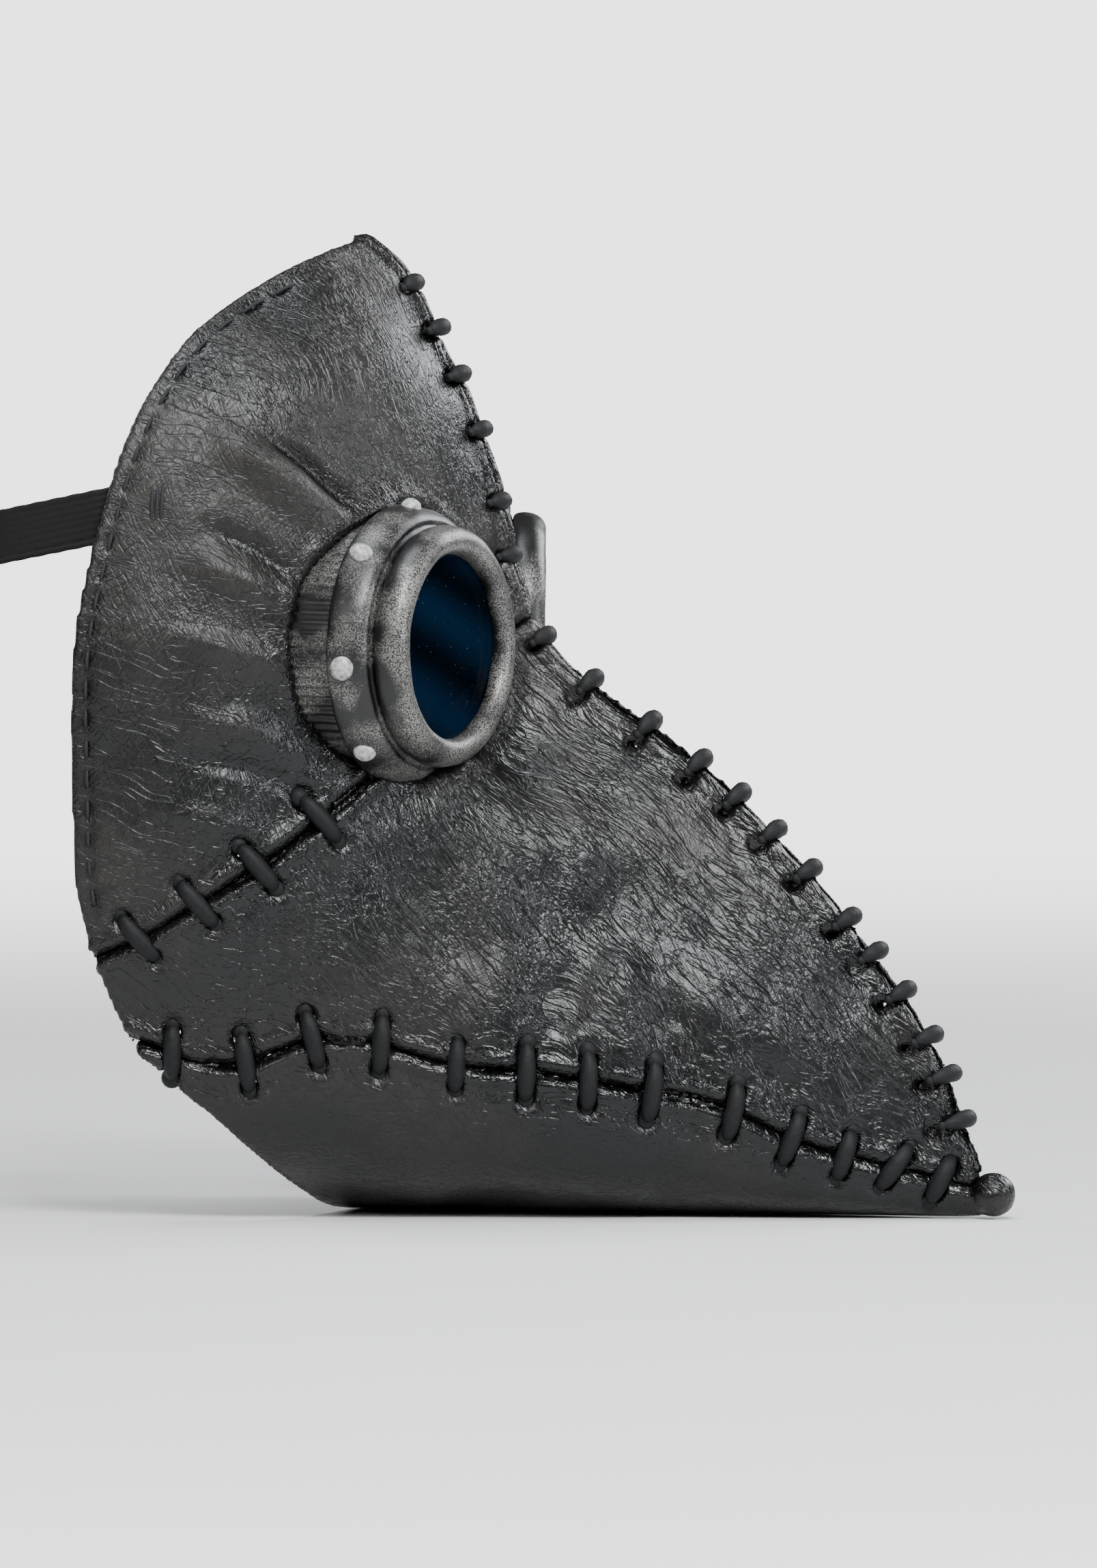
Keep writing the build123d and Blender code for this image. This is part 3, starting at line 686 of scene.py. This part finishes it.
def skin(node, neighbours, stitches, settings):
    """The mesh of one leather panel, worked into folds, puckers and wrinkles."""
    mesh = panel_mesh(node, settings.cell)
    points = points_of(mesh)
    normals = normals_of(mesh)
    outside = outer_share(points, normals)
    points, seam = close_seam(points, normals, neighbours)
    sewn = nearest(points, [f"hem_thread_{side}" for side in SIDES])[1]
    cup = [f"goggle_{part}_{side}" for part in ("flange", "collar", "bezel") for side in SIDES]
    around = nearest(points, cup)[1]
    pits = distance_to_any(points, [end for first, _, last in stitches for end in (first, last)])
    wobble = 1 + 0.45 * lattice_noise(points, 7 * MM, 6)
    height = lattice_noise(points, 26 * MM, 3) * 1.15 * MM
    height += lattice_noise(points, 11 * MM, 4) * 0.5 * MM
    height += lattice_noise(points * (1, 1, 0.35), 4 * MM, 5) * 0.16 * MM
    height += puckers(points, seam, stitches, wobble, settings)
    height += folds(points, wobble)
    height -= bell(sewn, 1.4 * MM) * 0.7 * MM
    height += wrinkles(points, around, wobble)
    calm = 1.0
    if node == "under_beak_panel":  # its flat bottom stays on the floor
        calm = np.clip((points[:, 2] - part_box(node)[0][2]) / (6 * MM), 0, 1)
    set_points(mesh, points + normals * (height * outside * calm)[:, None])
    add_values(mesh, "wear", np.clip(height / (2.2 * MM) * outside + 0.42, 0, 1))
    # Painted shade: darkest in the seams, the stitch-end pits, round the goggles, along the hem and on the
    # inside of the mask.
    shades = (
        bell(seam, 1.5 * MM),
        0.8 * bell(pits, 2.6 * MM),
        0.75 * bell(around, 2.8 * MM),
        0.9 * bell(sewn, 1.1 * MM),
        1 - outside,
    )
    add_values(mesh, "shade", np.maximum.reduce(shades))
    # Painted shade: a broad darkening near the seams and round the goggles, which also makes the leather
    # glossier there.
    broad = np.maximum(bell(seam, 9 * MM) * 0.55, bell(around, 9 * MM) * 0.6)
    add_values(mesh, "joint_shade_and_gloss", np.clip(broad + 0.25 * lattice_noise(points, 16 * MM, 8), 0, 1))
    return mesh


class MASK_OT_leather(bpy.types.Operator):
    """Work the five leather panels into creased, laced skins"""

    bl_idname = "mask.leather"
    bl_label = "Leather Panels"

    def execute(self, context):
        settings = context.scene.mask_leather
        crease_group()
        patch_group()
        fine = [
            (430.0, (0.1, 0.5, 0.1), (1.0, 1.0, 0.1), 0.085, 0.8),
            (400.0, (0.1, -0.7, 0.1), (1.0, 1.0, 0.09), 0.08, 0.7),
            (250.0, (0.1, 1.35, 0.1), (1.0, 1.0, 0.1), 0.035, 1.2),
        ]
        flowing = [
            (360.0, (0.1, 1.15, 0.1), (1.0, 1.0, 0.07), 0.07, 0.9),
            (430.0, (0.1, 0.5, 0.1), (1.0, 1.0, 0.1), 0.08, 0.6),
            (190.0, (0.1, 0.85, 0.1), (1.0, 1.0, 0.07), 0.03, 1.3),
        ]
        calm = [
            (330.0, (0.1, 1.4, 0.1), (1.0, 1.0, 0.08), 0.05, 0.7),
            (230.0, (0.1, 0.4, 0.1), (1.0, 1.0, 0.08), 0.04, 0.8),
        ]
        brow = leather_material("brow_leather", settings.dark, settings.rubbed, fine, 0.6, 0.34)
        beak = leather_material("beak_leather", settings.dark, settings.rubbed, flowing, 0.56, 0.33)
        under = leather_material("under_leather", settings.dark, settings.rubbed, calm, 0.52, 0.33)
        stitches = {}
        for side in SIDES:
            stitches[side] = stitches_of(f"cheek_stitches_{side}") + stitches_of(f"jaw_stitches_{side}")
        for side, other in zip(SIDES, reversed(SIDES)):
            near = [f"beak_panel_{side}", f"brow_panel_{other}"]
            mesh = skin(f"brow_panel_{side}", near, stitches[side], settings)
            object_from(f"brow_skin_{side}", mesh, brow, "mask", [f"brow_panel_{side}"])
            near = [f"brow_panel_{side}", f"beak_panel_{other}", "under_beak_panel"]
            mesh = skin(f"beak_panel_{side}", near, stitches[side], settings)
            object_from(f"beak_skin_{side}", mesh, beak, "mask", [f"beak_panel_{side}"])
        near = [f"beak_panel_{side}" for side in SIDES]
        mesh = skin("under_beak_panel", near, stitches["right"] + stitches["left"], settings)
        object_from("under_beak_skin", mesh, under, "mask", ["under_beak_panel"])
        return {"FINISHED"}


# Lacing and sewing
def stitches_of(node, axis=None):
    """Each stitch of a frame node as (first end, middle, last end), along its longest or a given axis."""
    found = []
    for points in islands(node):
        centre = points.mean(axis=0)
        along = np.array(axis) if axis else np.linalg.svd(points - centre, full_matrices=False)[2][0]
        place = (points - centre) @ along
        low, high = place.min(), place.max()
        span = high - low
        first = points[place < low + 0.1 * span].mean(axis=0)
        last = points[place > high - 0.1 * span].mean(axis=0)
        middle = points[np.abs(place - (low + high) / 2) < 0.12 * span].mean(axis=0)
        found.append((first, middle, last))
    return found


def arc_curves(name, stitches, lift, dig, rings=17):
    """A curve object with one arc for each stitch, lifted a little off the skin and dug in at its ends."""
    data = bpy.data.curves.new(name, "CURVE")
    data.dimensions = "3D"
    for first, middle, last in stitches:
        chord = (first + last) / 2
        up = middle - chord
        up /= np.linalg.norm(up)
        bend = 2 * middle - chord
        spline = data.splines.new("POLY")
        spline.points.add(rings - 1)
        for i, t in enumerate(np.linspace(0, 1, rings)):
            point = (1 - t) ** 2 * first + 2 * t * (1 - t) * bend + t * t * last
            point = point + up * (lift - dig * abs(2 * t - 1) ** 6)
            spline.points[i].co = (*point, 1)
    source = bpy.data.objects.new(name, data)
    bpy.context.collection.objects.link(source)
    return source


def sew(name, node, tree, values, lift, axis=None, dig=0.0):
    """Replace a frame node's stitches with tapered cords."""
    source = arc_curves(name, stitches_of(node, axis), lift, dig)
    mesh = through_nodes(source, tree, values)
    return object_from(name, mesh, values["Material"], "mask", [node])


class MASK_OT_lacing(bpy.types.Operator):
    """Lay the tapered cord stitches over the ridge, cheek and jaw seams"""

    bl_idname = "mask.lacing"
    bl_label = "Lacing"

    def execute(self, context):
        trim = context.scene.mask_trim
        cord = cord_material("waxed_cord", trim.cord, 0.62, 900.0, 0.00025)
        values = {"Radius": trim.cord_radius, "Taper": 2.4, "Roughness": 0.28, "Material": cord}
        values["Plug"] = 1.2 * MM
        tree = cord_tree()
        sew("ridge_lacing", "ridge_stitches", tree, values, 0.2 * MM, (0, 1, 0))
        values["Plug"] = 3.0 * MM
        for side in SIDES:
            for seam in ("cheek", "jaw"):
                name = f"{seam}_lacing_{side}"
                sew(name, f"{seam}_stitches_{side}", tree, values, 0.5 * MM, dig=2.7 * MM)
        return {"FINISHED"}


class MASK_OT_sewing(bpy.types.Operator):
    """Sew the brow's hem and the strap's bar-tacks"""

    bl_idname = "mask.sewing"
    bl_label = "Hem and Tacks"

    def execute(self, context):
        trim = context.scene.mask_trim
        thread = cord_material("black_thread", (0.012, 0.012, 0.013), 0.7, 2500.0, 0.00008)
        values = {"Radius": trim.thread_radius, "Taper": 6.0, "Roughness": 0.2, "Material": thread}
        values["Plug"] = 0.4 * MM
        tree = bpy.data.node_groups["tapered_cord"]
        for side in SIDES:
            sew(f"hem_stitching_{side}", f"hem_thread_{side}", tree, values, 0.3 * MM)
            sew(f"bar_tack_{side}", f"strap_tack_{side}", tree, values, 0.3 * MM)
        return {"FINISHED"}


# Goggles
def goggle_axes(side):
    """A goggle's centre (front of its lens) and its unit axes: towards the nose, up and out."""
    way = 1 if side == "right" else -1
    out = np.array((cos(TOE_OUT), -sin(TOE_OUT) * way, 0))
    nose = np.array((sin(TOE_OUT), cos(TOE_OUT) * way, 0))
    low, high = (np.array(corner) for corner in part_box(f"lens_{side}"))
    return (low + high) / 2 + out * 0.75 * MM, nose, np.array((0, 0, 1.0)), out


def rounded(profile, rounds=2):
    """A closed outline with its corners cut and cut again."""
    outline = np.array(profile, dtype=float)
    for _ in range(rounds):
        following = np.roll(outline, -1, axis=0)
        cuts = (outline * 0.75 + following * 0.25, outline * 0.25 + following * 0.75)
        outline = np.stack(cuts, 1).reshape(-1, 2)
    return outline


def lathe(name, side, profile, wear, steps=180, shape=None):
    """A ring turned about a goggle's axis from a closed outline of (radius, height) in millimetres.

    wear gives each (radius, height) its rubbed share; shape may move a point of the ring, given its turn.
    """
    centre, nose, up, out = goggle_axes(side)
    outline = rounded(profile)
    turns = np.linspace(0, 2 * pi, steps, endpoint=False)
    points = []
    marks = []
    for turn in turns:
        radial = nose * cos(turn) + up * sin(turn)
        for radius, height in outline:
            mark = wear(radius, height)
            if shape:
                radius, height = shape(radius, height, turn)
            points.append(centre + (radial * radius + out * height) * MM)
            marks.append(mark)
    count = len(outline)
    faces = []
    for i in range(steps):
        for j in range(count):
            a, b = i * count + j, i * count + (j + 1) % count
            c, d = ((i + 1) % steps) * count + (j + 1) % count, ((i + 1) % steps) * count + j
            faces.append((a, b, c, d) if side == "left" else (d, c, b, a))
    mesh = new_mesh(name, points, faces)
    points = points_of(mesh)
    rough = lattice_noise(points, 6 * MM, 11) * 0.16 * MM + lattice_noise(points, 2 * MM, 12) * 0.05 * MM
    set_points(mesh, points + normals_of(mesh) * rough[:, None])
    add_values(mesh, "wear", np.array(marks))
    return mesh


BEZEL = (
    (25.5, -1.2), (25.4, 1.2), (26.2, 3.2), (28.0, 4.3), (30.2, 4.2), (32.2, 2.8),
    (33.3, 0.2), (33.4, -3.0), (32.4, -5.0), (28.6, -5.0), (28.4, -1.6),
)  # fmt: skip
FLANGE = (
    (26.0, -4.8), (32.0, -4.9), (33.4, -6.0), (34.6, -5.4), (36.6, -6.8), (38.2, -10.2),
    (39.0, -14.6), (38.6, -16.4), (36.9, -16.4), (36.4, -12.0), (33.0, -7.4), (26.0, -7.2),
)  # fmt: skip
COLLAR = ((33.4, -10.0), (36.6, -13.0), (36.7, -24.0), (36.6, -38.0), (35.0, -38.8), (33.4, -38.0))


def collar_shape(radius, height, turn):
    """Slant the collar's back end and rib its temple side."""
    if height < -20:
        slant = -30 + 8 * cos(turn)
        height = -20 + (height + 20) * (slant + 20) / -18
    lower_temple = np.exp(-((turn - radians(180)) / radians(48)) ** 4)
    if radius > 36:
        radius -= 0.6 * lower_temple * (0.5 + 0.5 * np.sign(cos(turn * 82)) * abs(cos(turn * 82)) ** 0.4)
    return radius, height


def lens_mesh(side, radius=27.3, rings=14, steps=96):
    """A slightly domed disc that fits behind a bezel."""
    centre, nose, up, out = goggle_axes(side)
    points = [centre + out * 0.2 * MM]
    for i in range(1, rings + 1):
        share = i / rings
        sag = 0.9 * (1 - share**2) - 0.7
        for turn in np.linspace(0, 2 * pi, steps, endpoint=False):
            points.append(centre + ((nose * cos(turn) + up * sin(turn)) * radius * share + out * sag) * MM)
    faces = disc_faces(rings, steps)
    if side == "left":
        faces = [face[::-1] for face in faces]
    return applied(new_mesh("lens", points, faces), [("SOLIDIFY", {"thickness": 1.1 * MM, "offset": -1})])


class MASK_OT_goggles(bpy.types.Operator):
    """Turn the goggles' bezels, flanges and collars and glaze them"""

    bl_idname = "mask.goggles"
    bl_label = "Goggles"

    def execute(self, context):
        trim = context.scene.mask_trim
        bright = metal_material("rubbed_bezel", trim.silver, 0.6, 0.12 * MM)
        dull = metal_material("rubbed_flange", trim.silver, 0.58, 0.14 * MM)
        glass = lens_material(trim.glass)
        for side in SIDES:
            mesh = lathe("bezel", side, BEZEL, lambda r, h: np.clip(0.55 + (h - 1) * 0.13, 0, 1))
            object_from(f"bezel_{side}", mesh, bright, "mask", [f"goggle_bezel_{side}"])
            mesh = lathe("flange", side, FLANGE, lambda r, h: np.clip(0.62 - abs(h + 9.5) * 0.07, 0, 1))
            object_from(f"flange_{side}", mesh, dull, "mask", [f"goggle_flange_{side}"])
            mesh = lathe("collar", side, COLLAR, lambda r, h: 0.42, steps=656, shape=collar_shape)
            object_from(f"collar_{side}", mesh, dull, "mask", [f"goggle_collar_{side}"])
            object_from(f"glazing_{side}", lens_mesh(side), glass, "mask", [f"lens_{side}"])
        return {"FINISHED"}


def rivet_tree():
    """Geometry nodes that set an uneven dome on each point, facing along the point's out attribute."""
    tree, inputs, outputs = tree_with(
        "rivet_heads",
        "GeometryNodeTree",
        [
            ("Points", "NodeSocketGeometry", None),
            ("Radius", "NodeSocketFloat", 0.003),
            ("Seed", "NodeSocketInt", 5),
            ("Material", "NodeSocketMaterial", None),
        ],
        [("Mesh", "NodeSocketGeometry")],
    )
    ball = add_node(tree, "GeometryNodeMeshUVSphere", [("Segments", 28), ("Rings", 16), ("Radius", 1.0)])
    out = add_node(tree, "GeometryNodeInputNamedAttribute", [("Name", "out")], data_type="FLOAT_VECTOR")
    facing = [("Vector", out.outputs["Attribute"])]
    turned = add_node(tree, "FunctionNodeAlignRotationToVector", facing, axis="Z")
    sizes = [("Min", (0.92, 0.9, 0.66)), ("Max", (1.1, 1.06, 0.8)), ("Seed", inputs["Seed"])]
    size = add_node(tree, "FunctionNodeRandomValue", sizes, data_type="FLOAT_VECTOR")
    placed = add_node(
        tree,
        "GeometryNodeInstanceOnPoints",
        [
            ("Points", inputs["Points"]),
            ("Instance", ball.outputs["Mesh"]),
            ("Rotation", turned.outputs[0]),
            ("Scale", scaled(tree, size.outputs[0], inputs["Radius"])),
        ],
    )
    real = add_node(tree, "GeometryNodeRealizeInstances", [("Geometry", placed.outputs[0])])
    heads = roughened(tree, real.outputs[0], 330.0, 2.0, 1.1 * MM)
    finish_tree(tree, heads, inputs["Material"], outputs["Mesh"])
    return tree


class MASK_OT_rivets(bpy.types.Operator):
    """Set the rivets round the goggles' flanges"""

    bl_idname = "mask.rivets"
    bl_label = "Rivets"

    def execute(self, context):
        trim = context.scene.mask_trim
        silver = rivet_material()
        maker = rivet_tree()
        for side in SIDES:
            centre, nose, up, out = goggle_axes(side)
            points = []
            facings = []
            for angle in RIVET_ANGLES:
                radial = nose * cos(radians(angle)) + up * sin(radians(angle))
                points.append(centre + (radial * 38.1 + out * -11.6) * MM)
                facings.append(radial * 0.9 + out * 0.43)
            mesh = new_mesh("rivet_points", points, [])
            attribute = mesh.attributes.new("out", "FLOAT_VECTOR", "POINT")
            attribute.data.foreach_set("vector", np.array(facings, dtype=np.float32).ravel())
            source = bpy.data.objects.new("rivet_points", mesh)
            bpy.context.collection.objects.link(source)
            heads = through_nodes(source, maker, {"Radius": trim.rivet_radius, "Material": silver})
            replaced = [f"goggle_rivets_{side}"]
            object_from(f"rivet_heads_{side}", heads, silver, "mask", replaced)
        return {"FINISHED"}


# Strap
STRAP_SLOPE = radians(12)
STRAP_HALF_WIDTH = 6.35 * MM
STRAIGHT = 12 * MM  # from the hinge to the start of the loop's curve
RIBS = 7


def strap_path(hinge, steps=420):
    """The middle of the strap in its own plane: from one bar-tack back, round the head and to the other."""
    band_low, band_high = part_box("strap_band")
    tab_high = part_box("strap_tab_right")[1]
    breadth = (band_high[1] - band_low[1]) / 2 - 0.65 * MM
    depth = (hinge[0] - band_low[0]) / cos(STRAP_SLOPE) - STRAIGHT - 2.2 * MM
    inner = -tab_high[1] - 0.3 * MM
    path = []
    for t in np.linspace(0, 1, 9):
        path.append(((tab_high[0] - hinge[0]) * (1 - t), -(inner + (breadth - inner) * min(1, t * 1.15))))
    path += [(-x * MM, -breadth) for x in (3, 6, 9)]
    start = path[:]
    for turn in np.linspace(0, pi, 49):
        path.append((-(STRAIGHT + depth * sin(turn)), -breadth * cos(turn)))
    path = np.array(path + [(x, -y) for x, y in reversed(start)])
    lengths = np.r_[0, np.cumsum(np.linalg.norm(np.diff(path, axis=0), axis=1))]
    places = np.linspace(0, lengths[-1], steps)
    return np.stack([np.interp(places, lengths, path[:, axis]) for axis in (0, 1)], 1), places


def strap_mesh(hinge):
    """A ribbed, knitted band along the strap's path."""
    path, places = strap_path(hinge)
    tangent = np.gradient(path, axis=0)
    tangent /= np.linalg.norm(tangent, axis=1)[:, None]
    side = np.stack((tangent[:, 1], -tangent[:, 0]), 1)
    across = np.linspace(-1, 1, RIBS * 6 + 1)
    thick = 0.5 * MM + 0.17 * MM * np.abs(np.cos(across * RIBS * pi / 2))
    points = []
    for i, place in enumerate(places):
        stretch = 1 + 0.012 * sin(i * 0.9)
        for face in (1, -1):
            for w, h in zip(across[::face], thick[::face]):
                knit = 0.09 * MM * cos(place / (1.1 * MM) * pi + abs(((w * RIBS) % 2) - 1) * 2)
                flat = path[i] + side[i] * face * (h + knit * 0.5)
                points.append((flat[0], flat[1], w * STRAP_HALF_WIDTH * stretch))
    points = np.array(points)
    placed = points.copy()
    placed[:, 0] = hinge[0] + points[:, 0] * cos(STRAP_SLOPE) - points[:, 2] * sin(STRAP_SLOPE)
    placed[:, 2] = hinge[2] + points[:, 0] * sin(STRAP_SLOPE) + points[:, 2] * cos(STRAP_SLOPE)
    count = 2 * len(across)
    faces = []
    for i in range(len(path) - 1):
        for j in range(count):
            a, b = i * count + j, i * count + (j + 1) % count
            faces.append((a, b, b + count, a + count))
    faces.append(tuple(range(count))[::-1])
    faces.append(tuple(range((len(path) - 1) * count, len(path) * count)))
    return new_mesh("strap", placed, faces)


class MASK_OT_strap(bpy.types.Operator):
    """Knit the elastic strap, from one bar-tack round the back to the other"""

    bl_idname = "mask.strap"
    bl_label = "Strap"

    def execute(self, context):
        elastic = cord_material("knitted_elastic", (0.0028, 0.0028, 0.0032), 0.72, 2200.0, 0.2 * MM)
        hinge = frame["joints"][0]["pos_m"]
        replaced = ["strap_band", "strap_tab_right", "strap_tab_left"]
        piece = object_from("elastic_strap", strap_mesh(hinge), elastic, None, replaced)
        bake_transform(piece)
        return {"FINISHED"}


# Stage
def lay_floor(middle):
    """A round, pale floor that fades out into the background."""
    level = cad_box[0][2] - 0.5 * MM
    steps = 96
    radii = np.array((0.0, 0.5, 0.8, 1.0, 1.2, 1.4, 1.6, 1.8, 2.0))
    points = [(middle.x, middle.y, level)]
    for radius in radii[1:]:
        for spin in np.linspace(0, 2 * pi, steps, endpoint=False):
            points.append((middle.x + radius * cos(spin), middle.y + radius * sin(spin), level))
    mesh = new_mesh("floor", points, disc_faces(len(radii) - 1, steps))
    shares = 0.5 + 0.5 * np.cos(pi * np.clip((radii - 0.6) / 1.3, 0, 1))
    add_values(mesh, "cover", np.r_[shares[0], np.repeat(shares[1:], steps)])
    pale, tree, shader = new_material("pale_floor", (0.7, 0.7, 0.7), 0.9)
    tree.links.new(stored(tree, "cover"), shader.inputs["Alpha"])
    mesh.materials.append(pale)
    floor = bpy.data.objects.new("floor", mesh)
    bpy.context.collection.objects.link(floor)


def pale_world():
    """A background that is pale to the camera and sheds only a little light."""
    world = bpy.data.worlds.new("studio")
    world.use_nodes = True
    tree = world.node_tree
    background = tree.nodes["Background"]
    seen = add_node(tree, "ShaderNodeLightPath").outputs["Is Camera Ray"]
    background.inputs[0].default_value = (1, 1, 1, 1)
    tree.links.new(math_node(tree, "MULTIPLY_ADD", seen, 2.9, 0.08), background.inputs[1])
    return world


LAMPS = (  # name, place, size in metres, power in watts, colour
    ("key", (0.72, -1.1, 1.1), 0.6, 40.0, (0.97, 0.985, 1)),
    ("side", (-0.35, -1.35, 0.55), 0.5, 6.0, (1, 0.99, 0.96)),
    ("top", (-0.1, -0.15, 1.3), 0.6, 14.0, (0.93, 0.96, 1)),
    ("front", (1.35, -0.3, 0.3), 0.4, 8.0, (0.93, 0.96, 1)),
    ("far", (0.9, 1.2, 0.75), 0.8, 24.0, (0.95, 0.97, 1)),
    ("rear", (-1.3, 0.5, 0.7), 0.6, 9.0, (1, 0.99, 0.97)),
)


def aim(name, data, place, target):
    """Link a lamp or a camera at a place, facing a target."""
    item = bpy.data.objects.new(name, data)
    item.location = Vector(place)
    item.rotation_euler = (target - item.location).to_track_quat("-Z", "Y").to_euler()
    bpy.context.collection.objects.link(item)
    return item


class MASK_OT_stage(bpy.types.Operator):
    """Set up the floor, the lights and the camera"""

    bl_idname = "mask.stage"
    bl_label = "Stage"

    def execute(self, context):
        middle = Vector((0.105, 0.028, -0.0415))
        lay_floor(middle)
        context.scene.world = pale_world()
        for name, place, size, power, colour in LAMPS:
            light = bpy.data.lights.new(name, "AREA")
            light.size = size
            light.energy = power
            light.color = colour
            aim(name, light, place, middle)
        distance = 8.0
        azimuth = radians(15)  # ahead of a square side view
        climb = radians(3)
        towards = Vector((sin(azimuth) * cos(climb), -cos(azimuth) * cos(climb), sin(climb)))
        data = bpy.data.cameras.new("camera")
        data.sensor_fit = "VERTICAL"
        data.angle = 2 * atan(0.218 / distance)
        context.scene.camera = aim("camera", data, middle + towards * distance, middle)
        return {"FINISHED"}


class MASK_PT_maker(bpy.types.Panel):
    """The mask's makers, in the sidebar"""

    bl_idname = "MASK_PT_maker"
    bl_label = "Plague Doctor Mask"
    bl_space_type = "VIEW_3D"
    bl_region_type = "UI"
    bl_category = "Mask"

    def draw(self, context):
        for group in (context.scene.mask_leather, context.scene.mask_trim):
            for name in group.__annotations__:
                self.layout.prop(group, name)
        for maker in MAKERS:
            self.layout.operator(maker.bl_idname)


MAKERS = (
    MASK_OT_leather,
    MASK_OT_lacing,
    MASK_OT_sewing,
    MASK_OT_goggles,
    MASK_OT_rivets,
    MASK_OT_strap,
    MASK_OT_stage,
)
CLASSES = (MaskLeatherSettings, MaskTrimSettings, *MAKERS, MASK_PT_maker)


def register():
    """Add the classes and the scene's settings."""
    for item in CLASSES:
        bpy.utils.register_class(item)
    bpy.types.Scene.mask_leather = bpy.props.PointerProperty(type=MaskLeatherSettings)
    bpy.types.Scene.mask_trim = bpy.props.PointerProperty(type=MaskTrimSettings)


def unregister():
    """Remove what register added."""
    del bpy.types.Scene.mask_trim
    del bpy.types.Scene.mask_leather
    for item in reversed(CLASSES):
        bpy.utils.unregister_class(item)


def main():
    """Build the mask and its stage."""
    register()
    bpy.ops.mask.leather()
    bpy.ops.mask.lacing()
    bpy.ops.mask.sewing()
    bpy.ops.mask.goggles()
    bpy.ops.mask.rivets()
    bpy.ops.mask.strap()
    bpy.ops.mask.stage()


if __name__ == "__main__":
    main()
